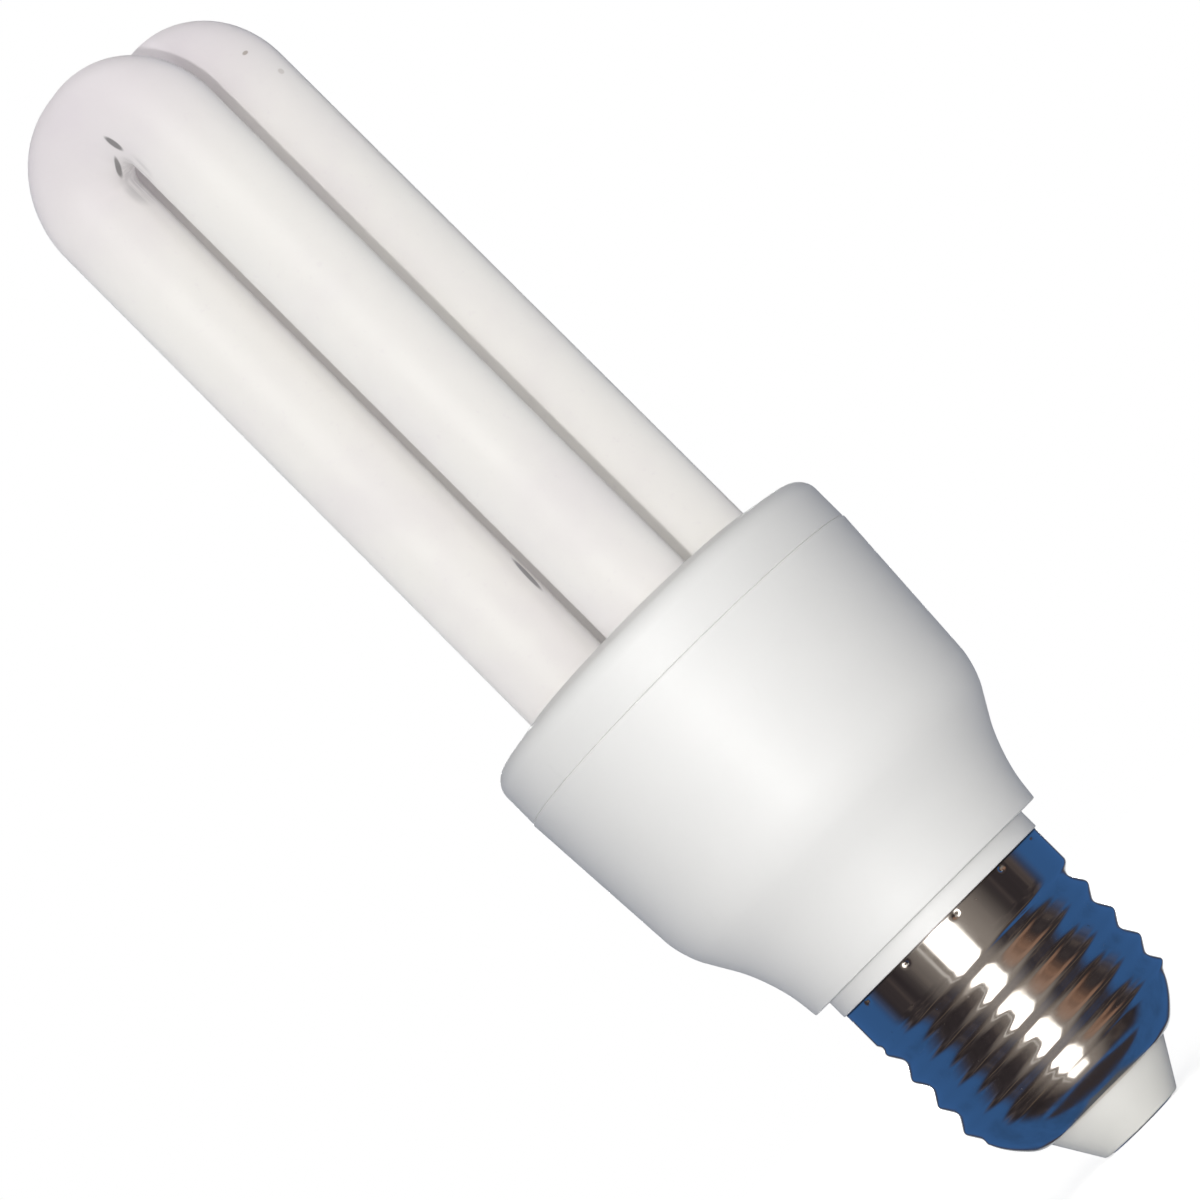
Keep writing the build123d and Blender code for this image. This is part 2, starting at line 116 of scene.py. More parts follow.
class LampHousingSettings(bpy.types.PropertyGroup):
    housing_z: length("Foot of the bell", "Height of the housing's foot above the contact", 30.0)
    foot_radius: length("Foot radius", "Radius of the bell at its foot", 15.2)
    waist_radius: length("Waist radius", "Radius where the bell starts to widen", 15.86)
    waist_height: length("Waist height", "Height of the waist above the foot", 5.5)
    waist_round: length("Waist round", "Rounding of the waist", 20.0)
    shoulder_radius: length("Shoulder radius", "Radius of the bell's shoulder", 20.46)
    shoulder_height: length("Shoulder height", "Height of the shoulder above the foot", 13.3)
    shoulder_round: length("Shoulder round", "Rounding of the shoulder", 11.0)
    rim_radius: length("Rim radius", "Radius of the housing at the parting line", 21.75)
    wall: length("Wall", "Thickness of the moulding", 1.6)
    collar_radius: length("Collar radius", "Ring between the bell and the screw shell", 13.35)
    neck_radius: length("Neck radius", "Neck inside the screw shell", 11.8)
    neck_bore: length("Neck bore", "Bore of the neck", 10.4)
    neck_end_z: length("Neck end", "Lower end of the neck above the contact", 14.9)
    floor: length("Floor", "Thickness of the floor between the bell and the neck", 1.5)
    band_fit: length("Band fit", "Gap between the collar's seat and the band", 0.05)
    edge_round: length("Edge round", "Small rounding of the moulded edges", 0.16)
    rebate_lip: length("Rebate lip", "Width of the rim round the cover's spigot", 1.2)
    rebate_depth: length("Rebate depth", "Depth of the step that takes the spigot", 4.2)
    rebate_ledge: length("Rebate ledge", "Width of the step's ledge", 0.7)
    cover_z: length("Parting line", "Height of the joint between housing and cover", 63.0)
    cover_radius: length("Cover radius", "Radius of the cover at the parting line", 21.65)
    cover_top_z: length("Cover top", "Height of the cover's flat top", 69.8)
    cover_edge_drop: length("Cover slope", "Height lost between the flat top and the corner", 1.2)
    cover_flat_radius: length("Cover flat", "Radius of the cover's flat top", 15.5)
    cover_corner_round: length("Cover corner", "Rounding of the cover's outer corner", 2.2)
    cover_top_round: length("Cover top round", "Rounding where the slope meets the flat", 5.0)
    cover_plate: length("Cover plate", "Thickness of the cover's top", 2.5)
    spigot_inset: length("Spigot inset", "Distance of the cover's spigot inside the rim", 1.3)
    spigot_wall: length("Spigot wall", "Thickness of the spigot", 1.4)
    spigot_height: length("Spigot height", "How far the spigot goes into the housing", 4.0)
    hole_radius: length("Tube hole", "Radius of the holes for the legs", 5.5)
    hole_round: length("Hole round", "Rounding of the holes' upper edges", 0.25)


class LampCapSettings(bpy.types.PropertyGroup):
    shell_z: length("Hem height", "Height of the screw shell's lower edge", 4.9)
    shell_top_z: length("Shell top", "Height of the screw shell's upper edge", 27.9)
    sheet: length("Sheet", "Thickness of the metal", 0.3)
    mouth_radius: length("Mouth radius", "Radius where the taper meets the hem", 8.7)
    hem_radius: length("Hem radius", "Opening that the insulator passes through", 7.85)
    taper_height: length("Taper height", "Height of the rounded lower end", 4.3)
    hem_round: length("Hem round", "Rounding between the taper and the hem", 0.75)
    taper_bulge: length("Taper bulge", "How far the taper stands out of a straight cone", 0.45)
    root_radius: length("Root radius", "Radius at the bottom of the thread", 12.15)
    crest_radius: length("Crest radius", "Radius at the top of the thread", 13.05)
    pitch: length("Pitch", "Rise of the thread in one turn", 3.629)
    crest_start_z: length("Thread start", "Height of one crest on the X axis", 9.34)
    band_z: length("Band height", "Height of the plain band's lower edge", 23.7)
    band_radius: length("Band radius", "Radius of the plain band", 13.1)
    swell_height: length("Swell height", "Height over which the wall swells out to the band", 0.9)
    run_in_height: length("Run-in height", "Height over which the thread starts", 1.3)
    run_in_drop: length("Run-in drop", "How far below the taper's top the thread starts", 0.2)
    punch_radius: length("Punch radius", "Radius of the dimples near the upper edge", 0.42)
    punch_depth: length("Punch depth", "Depth of the dimples", 0.28)
    punch_drop: length("Punch drop", "Distance of the dimples below the upper edge", 0.5)
    punch_angle: angle("Punch angle", "Turn of the first dimple from the X axis", 10.5)
    cone_radius: length("Insulator end", "Radius of the insulator at its lower end", 4.9)
    neck_radius: length("Insulator neck", "Radius in the shell's opening", 7.8)
    disc_radius: length("Insulator disc", "Radius of the disc inside the shell", 8.5)
    disc_height: length("Disc height", "Thickness of the disc", 2.6)
    cone_z: length("Insulator face", "Height of the insulator's lower face", 0.15)
    contact_radius: length("Contact radius", "Radius of the centre contact", 4.2)
    contact_height: length("Contact height", "Thickness of the contact's head", 0.65)
    shank_radius: length("Shank radius", "Radius of the contact's shank", 1.2)
    shank_length: length("Shank length", "Length of the contact's shank", 4.0)


class LampFinishSettings(bpy.types.PropertyGroup):
    phosphor: colour("Phosphor", "White powder seen through the glass", 0.876, 0.860, 0.835)
    # Painted shade: this lilac colour darkens the arches towards the tips; the grain also mixes it in as
    # random tone
    phosphor_painted_shade_and_tone: colour("Phosphor shade", "Lilac cast of the powder on the arches", 0.785, 0.742, 0.765)
    # Painted shade that darkens the creases
    crease_and_painted_shade: colour("Crease", "Creases in the glass where it was bent", 0.200, 0.190, 0.190)
    # Painted shade round the top of the slit, where the arch's underside lies in shade
    painted_crotch_shade: colour("Pinch", "Thin powder round the top of the slit", 0.360, 0.350, 0.360)
    speck: colour("Speck", "Specks on the glass", 0.260, 0.200, 0.150)
    # Painted glow: this emission stands in for light passing through the glass between the legs
    glow: colour("Glow", "Light that comes through the glass between the legs", 0.900, 0.880, 0.920)
    housing: colour("Housing", "White plastic of the housing and its cover", 0.888, 0.884, 0.870)
    housing_shade: colour("Housing shade", "Greyer places of the white plastic", 0.806, 0.806, 0.793)
    insulator: colour("Insulator", "Off-white insulator at the end of the cap", 0.830, 0.825, 0.790)
    nickel: colour("Nickel", "Polished plating of the screw shell", 0.690, 0.650, 0.600)
    tarnish: colour("Tarnish", "Brownish film in the thread's roots", 0.420, 0.340, 0.270)
    # Painted shadow under the collar's lower edge
    painted_collar_shadow: colour("Grime", "Dark seam between the shell and the collar", 0.060, 0.050, 0.045)
    solder: colour("Solder", "Tinned face of the centre contact", 0.560, 0.550, 0.520)
    solder_shade: colour("Solder shade", "Duller places of the tinned face", 0.430, 0.410, 0.370)


class LampStageSettings(bpy.types.PropertyGroup):
    camera_distance: length("Camera distance", "From the camera to the middle of the picture", 501.0)
    camera_azimuth: angle("Camera azimuth", "Turn of the camera round the lamp", 34.0)
    camera_drop: angle("Camera drop", "How far the camera looks up from below", 5.3)
    camera_roll: angle("Camera roll", "Lean of the lamp in the picture", 45.0)
    camera_height: length("Aim height", "Height of the middle of the picture", 74.25)
    camera_offset: length("Aim offset", "Lamp axis to the right of the picture's middle", 1.29)
    lens: amount("Lens", "Focal length in millimetres", 151.2)
    ambient: amount("Ambient", "Strength of the even light from all round", 0.25)
    key_power: amount("Key power", "Watts of the small light beside the camera", 0.78)
    key_turn: angle("Key turn", "Turn of the key light to the left of the camera", 8.0)
    front_power: amount("Front power", "Watts of the wide soft light behind the camera", 6.5)
    top_power: amount("Top power", "Watts of the soft light above", 0.7)
    rear_power: amount("Rear power", "Watts of the soft light behind", 2.6)
    drape: colour("Drape", "Blue cloth that the metal mirrors at its edges", 0.043, 0.128, 0.340)
    room: colour("Room", "Dark room that the metal mirrors", 0.050, 0.042, 0.046)
    wood: colour("Wood", "Warm wood that the metal mirrors to the right", 0.340, 0.200, 0.140)
    gloom: colour("Gloom", "Darkest patches of the room", 0.012, 0.010, 0.012)
    patches: colour("Patches", "Paler patches of the room", 0.300, 0.240, 0.200)
    edge: colour("Edge", "Pale edge across the room, below the level", 0.340, 0.260, 0.190)
    haze: colour("Haze", "Soft light on the room round the window", 0.380, 0.345, 0.320)
    pane: colour("Pane", "Bright window that the metal mirrors", 1.000, 0.990, 0.970)
    rear_pane: colour("Rear pane", "Bluish window behind the lamp", 0.800, 0.850, 0.900)
    bowl_rim: colour("Bowl rim", "Pale spot beside the dark oval below the lamp", 0.140, 0.155, 0.180)
    floor: colour("Floor", "Pale floor", 0.900, 0.900, 0.900)


# Shader building


class Wire:
    """An output socket whose arithmetic adds Math nodes to its tree."""

    def __init__(self, socket):
        self.socket = socket

    def math(self, operation, *operands):
        """Add a Math node with the operands as its inputs."""
        node = self.socket.id_data.nodes.new("ShaderNodeMath")
        node.operation = operation
        for socket, operand in zip(node.inputs, operands):
            plug(socket, operand)
        return Wire(node.outputs[0])

    def __add__(self, other):
        return self.math("ADD", self, other)

    def __radd__(self, other):
        return self.math("ADD", other, self)

    def __sub__(self, other):
        return self.math("SUBTRACT", self, other)

    def __rsub__(self, other):
        return self.math("SUBTRACT", other, self)

    def __mul__(self, other):
        return self.math("MULTIPLY", self, other)

    def __rmul__(self, other):
        return self.math("MULTIPLY", other, self)

    def __pow__(self, other):
        return self.math("POWER", self, other)

    def __abs__(self):
        return self.math("ABSOLUTE", self)

    def __or__(self, other):
        return self.math("MAXIMUM", self, other)


def plug(socket, value):
    """Link a wire into a socket, or set the socket's own value."""
    if isinstance(value, Wire):
        socket.id_data.links.new(value.socket, socket)
    else:
        socket.default_value = value


class Finish:
    """A material or world under construction, with its node tree and its main shader."""

    def __init__(self, owner, **constants):
        owner.use_nodes = True
        self.owner = owner
        self.tree = owner.node_tree
        self.shader = next((n for n in self.tree.nodes if n.type == "BSDF_PRINCIPLED"), None)
        for key, value in constants.items():
            self.shader.inputs[key.replace("_", " ")].default_value = value

    def node(self, kind, settings=None, inputs=None, output=0):
        """Add a node with its settings and its socket values or links, and give one output."""
        node = self.tree.nodes.new("ShaderNode" + kind)
        for key, value in (settings or {}).items():
            setattr(node, key, value)
        for key, value in (inputs or {}).items():
            plug(node.inputs[key], value)
        return Wire(node.outputs[output])

    def place(self):
        """Object coordinates."""
        return self.node("TexCoord", output="Object")

    def axes(self, vector):
        """The three coordinates of a vector."""
        node = self.node("SeparateXYZ", inputs={0: vector})
        return [Wire(socket) for socket in node.socket.node.outputs]

    def noise(self, vector, scale, detail=2.0, roughness=0.5, stretch=None):
        """Fractal noise, which may be stretched by a scale for each axis."""
        if stretch:
            vector = self.node("Mapping", inputs={"Vector": vector, "Scale": stretch})
        values = {"Vector": vector, "Scale": scale, "Detail": detail, "Roughness": roughness}
        return self.node("TexNoise", inputs=values)

    def smooth(self, value, low, high, bottom=0.0, top=1.0):
        """A smooth step of a value from bottom at low to top at high."""
        return self.node(
            "MapRange",
            {"interpolation_type": "SMOOTHSTEP"},
            {"Value": value, "From Min": low, "From Max": high, "To Min": bottom, "To Max": top},
        )

    def band(self, value, rise, fall):
        """One between two smooth steps, each given as where it is nought and where it is one."""
        return self.smooth(value, *rise) * self.smooth(value, *fall)

    def blend(self, mask, first, second):
        """Mix two colours by a mask."""
        first, second = (c if isinstance(c, Wire) else (*c, 1.0) for c in (first, second))
        return self.node("Mix", {"data_type": "RGBA"}, {0: mask, 6: first, 7: second}, output=2)

    def spot(self, centre, size, turn=0.0, lean=0.0):
        """One inside an ellipsoid given in millimetres, leaned to the right and turned round Z."""
        values = {
            "Vector": self.place(),
            "Location": [value * MM for value in centre],
            "Rotation": (0.0, radians(lean), turn),
            "Scale": [value * MM for value in size],
        }
        local = self.node("Mapping", {"vector_type": "TEXTURE"}, values)
        off = self.node("VectorMath", {"operation": "LENGTH"}, {0: local}, output="Value")
        return self.smooth(off, 1.2, 0.7)

    def bump(self, height, strength, reach):
        """A Bump node for the shader's Normal."""
        return self.node("Bump", inputs={"Strength": strength, "Distance": reach, "Height": height})

    def set(self, **links):
        """Plug links into the main shader and give the material or world."""
        for key, value in links.items():
            plug(self.shader.inputs[key.replace("_", " ")], value)
        return self.owner


def new_finish(name, **constants):
    """A new material with constants on its main shader."""
    return Finish(bpy.data.materials.new(name), **constants)


def from_axis(x, y):
    """Distance from the Z axis, from the wires of X and Y."""
    return (x * x + y * y) ** 0.5


def degrees_of(y, x):
    """Angle in degrees of the direction with wires X and Y, from the X axis."""
    return y.math("ARCTAN2", y, x) * (180 / pi)


# Marks on the glass, with centre and half-size in millimetres: creases, which are dented and darkened with
# painted shade, a patch of painted shade round the top of the slit, and specks. A crease has its lean in
# degrees, and a speck how strongly it shows.
CREASES = (
    ((3.9, -11.8, 138.9), (0.26, 3.0, 1.1), -10.0),
    ((0.6, -9.3, 137.8), (0.26, 3.0, 1.0), 46.0),
    ((-1.7, -5.7, 80.8), (0.3, 0.7, 2.3), 4.0),
)
# Painted shade round the top of the slit between the legs
PAINTED_CROTCH_SHADE = ((1.2, -9.4, 135.4), (1.9, 7.0, 2.3))
SPECKS = (
    ((11.6, 4.8, 138.1), (0.3, 0.4, 0.22), 0.6),
    ((12.2, 6.2, 134.4), (0.22, 0.4, 0.35), 0.25),
)


def phosphor_glass_finish():
    """White powder seen through glass, which glows faintly where the legs face each other."""
    colours = bpy.context.scene.lamp_finish
    tube = bpy.context.scene.lamp_tube
    finish = new_finish(
        "phosphor_glass", IOR=1.5, Specular_IOR_Level=0.3, Diffuse_Roughness=0.8, Emission_Strength=0.065
    )
    place = finish.place()
    x, y, z = finish.axes(place)
    clouds = finish.noise(place, 70.0, 3.0, 0.6)
    grain = finish.noise(place, 1400.0, 2.0)
    streaks = finish.noise(place, 1.0, 2.0, stretch=(1500.0, 1500.0, 120.0))
    turn = tube.mark_turn
    # Painted shade: the glass darkens to a lilac colour towards the arch tips, with random cloudy mottle on
    # top
    arch = finish.smooth(z, tube.tip_z - tube.painted_shade_height, tube.tip_z)
    painted_shade_and_mottle = arch * 0.95 + finish.smooth(clouds, 0.42, 0.72, 0.0, 0.35)
    # Creases: dented by the bump and darkened with painted shade
    crease_and_painted_shade = reduce(or_, [finish.spot(centre, size, turn, lean) for centre, size, lean in CREASES])
    # Painted shade round the top of the slit, broken into streaks
    painted_crotch_shade = finish.spot(*PAINTED_CROTCH_SHADE, turn) * finish.smooth(streaks, 0.38, 0.62, 0.1, 0.9)
    speck = reduce(or_, [finish.spot(centre, size) * strength for centre, size, strength in SPECKS])
    powder = finish.blend(painted_shade_and_mottle, colours.phosphor, colours.phosphor_painted_shade_and_tone)
    powder = finish.blend(finish.smooth(grain, 0.62, 0.8, 0.0, 0.25), powder, colours.phosphor_painted_shade_and_tone)
    powder = finish.blend(painted_crotch_shade * 0.45, powder, colours.painted_crotch_shade)
    powder = finish.blend(crease_and_painted_shade * 0.85, powder, colours.crease_and_painted_shade)
    powder = finish.blend(speck, powder, colours.speck)
    # Painted glow: emission on the faces between the legs stands in for light through the glass
    between = finish.smooth(from_axis(x, y), tube.glow_radius, tube.glow_core)
    height = finish.noise(place, 260.0, 2.0) * 0.7 + grain * 0.3 - crease_and_painted_shade * 1.5
    return finish.set(
        Base_Color=powder,
        Emission_Color=finish.blend(between, (0.0, 0.0, 0.0), colours.glow),
        Roughness=finish.smooth(clouds, 0.3, 0.7, 0.42, 0.58),
        Normal=finish.bump(height, 0.12, 0.00008),
    )


def plastic_finish(name, body, shade, seed):
    """Moulded white plastic with a fine spark-eroded grain and faint handling marks."""
    finish = new_finish(name, IOR=1.47, Specular_IOR_Level=0.5)
    place = finish.node("Mapping", inputs={"Vector": finish.place(), "Location": (seed, seed, seed)})
    flow = finish.noise(place, 34.0, 3.0, 0.55)
    grain = finish.noise(place, 2600.0, 2.0)
    marks = finish.noise(place, 420.0, 4.0, 0.7, stretch=(1.0, 1.0, 0.35))
    dull = finish.smooth(flow, 0.4, 0.75, 0.0, 0.45) + finish.smooth(marks, 0.66, 0.82, 0.0, 0.3)
    return finish.set(
        Base_Color=finish.blend(dull, body, shade),
        Roughness=finish.smooth(grain, 0.3, 0.7, 0.44, 0.54) + finish.smooth(marks, 0.6, 0.8, 0.0, 0.06),
        Normal=finish.bump(grain * 0.8 + marks * 0.2, 0.10, 0.00006),
    )


def nickel_finish():
    """Polished nickel plate with drawing lines, small pits and a brownish film in the thread."""
    colours = bpy.context.scene.lamp_finish
    cap = bpy.context.scene.lamp_cap
    finish = new_finish("nickel_shell", Metallic=1.0)
    place = finish.place()
    x, y, z = finish.axes(place)
    clouds = finish.noise(place, 260.0, 3.0, 0.6)
    lines = finish.noise(place, 1.0, 3.0, 0.6, stretch=(2600.0, 2600.0, 90.0))
    pits = finish.noise(place, 1500.0, 2.0)
    deep = 1.0 - finish.smooth(from_axis(x, y), cap.root_radius, cap.root_radius + 0.5 * MM)
    film = deep * finish.smooth(clouds, 0.35, 0.7, 0.05, 0.45)
    pit = finish.smooth(pits, 0.72, 0.8)
    # Painted shadow: a dark, rougher line along the shell's top edge, under the collar
    painted_collar_shadow = finish.smooth(z, cap.shell_top_z - 0.24 * MM, cap.shell_top_z - 0.1 * MM)
    plate = finish.blend(film | pit * 0.6, colours.nickel, colours.tarnish)
    return finish.set(
        Base_Color=finish.blend(painted_collar_shadow * 0.9, plate, colours.painted_collar_shadow),
        Roughness=finish.smooth(clouds, 0.3, 0.75, 0.07, 0.13) + film * 0.15 + pit * 0.2 + painted_collar_shadow * 0.3,
        Normal=finish.bump(lines * 0.5 - pit * 0.5, 0.10, 0.00002),
    )


def plain_finish(name, first, second, roughness, scale, metallic=0.0, bump=0.15):
    """A finish for the parts inside: two tones in patches with a fine surface grain."""
    finish = new_finish(name, Metallic=metallic)
    place = finish.place()
    patches = finish.noise(place, scale, 3.0, 0.6)
    grain = finish.noise(place, scale * 9.0, 2.0)
    return finish.set(
        Base_Color=finish.blend(finish.smooth(patches, 0.35, 0.7), first, second),
        Roughness=finish.smooth(grain, 0.3, 0.7, roughness, roughness + 0.12),
        Normal=finish.bump(grain, bump, 0.00005),
    )


# Mesh building


def chain(bm, corners, closed=False):
    """Edges through (radius, height) corners in the XZ plane; gives the vertices."""
    verts = [bm.verts.new((r, 0.0, z)) for r, z in corners]
    pairs = list(zip(verts, verts[1:] + verts[:1])) if closed else list(zip(verts, verts[1:]))
    for pair in pairs:
        bm.edges.new(pair)
    return verts


def bevel(bm, geom, width, segments, affect):
    """Bevel vertices or edges to a round of a width."""
    bmesh.ops.bevel(
        bm,
        geom=geom,
        offset=width,
        offset_type="OFFSET",
        segments=segments,
        profile=0.5,
        affect=affect,
        material=-1,
    )


def round_corner(bm, vert, radius, segments):
    """Round one corner of a chain, so that the middle of the round lies where the arc's would."""
    ways = [edge.other_vert(vert).co - vert.co for edge in vert.link_edges]
    half_turn = (pi - ways[0].angle(ways[1])) / 2
    reach = radius * (1 / cos(half_turn) - 1) / ((2 - sqrt(2)) * sin(half_turn))
    bevel(bm, [vert], reach, segments, "VERTICES")


def turned(bm, segments):
    """Spin all edges of a chain once round Z, close the poles and point the faces outwards."""
    bmesh.ops.spin(
        bm,
        geom=bm.verts[:] + bm.edges[:],
        cent=(0, 0, 0),
        axis=(0, 0, 1),
        dvec=(0, 0, 0),
        angle=2 * pi,
        steps=segments,
        use_merge=True,
        use_duplicate=False,
    )
    bmesh.ops.remove_doubles(bm, verts=bm.verts, dist=MERGE_DISTANCE)
    bmesh.ops.recalc_face_normals(bm, faces=bm.faces)


def add_cylinder(bm, radius, depth, segments, matrix):
    """Add a closed cylinder about the matrix's Z axis."""
    bmesh.ops.create_cone(
        bm, cap_ends=True, segments=segments, radius1=radius, radius2=radius, depth=depth, matrix=matrix
    )


def add_object(name, bm):
    """Turn a bmesh into an object in the scene."""
    mesh = bpy.data.meshes.new(name)
    bm.to_mesh(mesh)
    bm.free()
    made = bpy.data.objects.new(name, mesh)
    bpy.context.scene.collection.objects.link(made)
    return made


def shade_smooth(mesh):
    """Shade a mesh smooth up to its sharp edges."""
    mesh.shade_smooth()
    mesh.set_sharp_from_angle(angle=SHARP_ANGLE)


def add_piece(name, bm, finish, slot, *nodes):
    """Turn a bmesh into a piece that rides on the body and stands for CAD nodes."""
    piece = add_object(name, bm)
    shade_smooth(piece.data)
    piece.data.materials.append(finish)
    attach(piece, "root")
    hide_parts(*nodes)
    return piece


class LAMP_OT_discharge_tubes(bpy.types.Operator):
    """Sweep the two U tubes and add the bridge and the seals"""

    bl_idname = "lamp.discharge_tubes"
    bl_label = "Discharge Tubes"

    ring_segments = 96
    leg_steps = 24
    bend_steps = 28
    crown_steps = 6

    def leg(self, bm, ring, lift, steps):
        """Extrude a ring of edges straight by a lift in several steps."""
        for _ in range(steps):
            grown = bmesh.ops.extrude_edge_only(bm, edges=ring)["geom"]
            ring = [g for g in grown if isinstance(g, bmesh.types.BMEdge)]
            verts = [g for g in grown if isinstance(g, bmesh.types.BMVert)]
            ring = [edge for edge in ring if all(v in verts for v in edge.verts)]
            bmesh.ops.translate(bm, verts=verts, vec=lift / steps)
        return ring

    def bend(self, bm, ring, centre):
        """Turn a ring of edges a quarter round an axis along Y."""
        verts = list({v for edge in ring for v in edge.verts})
        last = bmesh.ops.spin(
            bm,
            geom=verts + ring,
            cent=centre,
            axis=(0, -1, 0),
            dvec=(0, 0, 0),
            angle=pi / 2,
            steps=self.bend_steps,
            use_merge=False,
            use_duplicate=False,
        )["geom_last"]
        return [g for g in last if isinstance(g, bmesh.types.BMEdge)]

    def execute(self, context):
        tube = context.scene.lamp_tube
        bm = bmesh.new()
        bend_z = tube.tip_z - tube.radius - tube.bend_radius
        bend_x = tube.leg_pitch / 2 - tube.bend_radius
        for side in (-1, 1):
            y = side * tube.u_pitch / 2
            start = Matrix.Translation((tube.leg_pitch / 2, y, tube.foot_z))
            made = bmesh.ops.create_circle(
                bm, cap_ends=False, radius=tube.radius, segments=self.ring_segments, matrix=start
            )["verts"]
            foot = list({edge for v in made for edge in v.link_edges})
            ring = self.leg(bm, foot, Vector((0, 0, bend_z - tube.foot_z)), self.leg_steps)
            ring = self.bend(bm, ring, (bend_x, y, bend_z))
            ring = self.leg(bm, ring, Vector((-2 * bend_x, 0, 0)), self.crown_steps)
            ring = self.bend(bm, ring, (-bend_x, y, bend_z))
            ring = self.leg(bm, ring, Vector((0, 0, tube.foot_z - bend_z)), self.leg_steps)
            for end in (foot, ring):
                bmesh.ops.edgeloop_fill(bm, edges=end)
        bmesh.ops.remove_doubles(bm, verts=bm.verts, dist=MERGE_DISTANCE)
        bmesh.ops.recalc_face_normals(bm, faces=bm.faces)
        feet = [e for e in bm.edges if all(abs(v.co.z - tube.foot_z) < MERGE_DISTANCE for v in e.verts)]
        bevel(bm, feet, tube.foot_round, 6, "EDGES")
        bridge = Matrix.Translation((tube.leg_pitch / 2, 0, tube.foot_z + tube.bridge_lift))
        bridge = bridge @ Matrix.Rotation(pi / 2, 4, "X")
        add_cylinder(bm, tube.bridge_radius, tube.u_pitch - tube.radius, 32, bridge)
        for side in (-1, 1):
            seal = Matrix.Translation(
                (-tube.leg_pitch / 2, side * tube.u_pitch / 2, tube.foot_z - tube.seal_length / 2)
            )
            size = Matrix.Diagonal((tube.seal_thickness, tube.seal_width, tube.seal_length, 1.0))
            bmesh.ops.create_cube(bm, size=1.0, matrix=seal @ size)
        add_piece("discharge_tubes", bm, phosphor_glass_finish(), "phosphor_glass", "discharge_tube")
        return {"FINISHED"}


class LAMP_OT_housing(bpy.types.Operator):
    """Turn the bell of the housing with its collar, neck and hollow inside"""

    bl_idname = "lamp.housing"
    bl_label = "Ballast Housing"

    def execute(self, context):
        lamp = context.scene.lamp_housing
        cap = context.scene.lamp_cap
        colours = context.scene.lamp_finish
        waist_z = lamp.housing_z + lamp.waist_height
        shoulder_z = lamp.housing_z + lamp.shoulder_height
        floor_z = lamp.housing_z + lamp.floor
        seat = cap.band_radius - cap.sheet - lamp.band_fit
        seat_z = cap.band_z + 0.3 * MM
        lip = lamp.rim_radius - lamp.rebate_lip
        rebate_z = lamp.cover_z - lamp.rebate_depth
        corners = [
            (lamp.foot_radius, lamp.housing_z),
            (lamp.waist_radius, waist_z),
            (lamp.shoulder_radius, shoulder_z),
            (lamp.rim_radius, lamp.cover_z),
            (lip, lamp.cover_z),
            (lip, rebate_z),
            (lip - lamp.rebate_ledge, rebate_z),
            (lamp.shoulder_radius - lamp.wall, shoulder_z),
            (lamp.waist_radius - lamp.wall, waist_z),
            (lamp.foot_radius - lamp.wall, floor_z),
            (lamp.neck_bore, floor_z),
            (lamp.neck_bore, lamp.neck_end_z),
            (lamp.neck_radius, lamp.neck_end_z),
            (lamp.neck_radius, seat_z),
            (seat, seat_z + lamp.band_fit),
            (seat, cap.shell_top_z),
            (lamp.collar_radius, cap.shell_top_z),
            (lamp.collar_radius, lamp.housing_z),
        ]
        bm = bmesh.new()
        verts = chain(bm, corners, closed=True)
        round_corner(bm, verts[1], lamp.waist_round, 16)
        round_corner(bm, verts[2], lamp.shoulder_round, 16)
        for edge in (verts[0], verts[3]):
            round_corner(bm, edge, lamp.edge_round, 5)
        for collar_edge in verts[16:]:
            round_corner(bm, collar_edge, lamp.edge_round * 0.8, 4)
        turned(bm, 180)
        add_piece(
            "housing_shell",
            bm,
            plastic_finish("white_housing", colours.housing, colours.housing_shade, 0.0),
            "white_housing",
            "ballast_housing",
        )
        return {"FINISHED"}


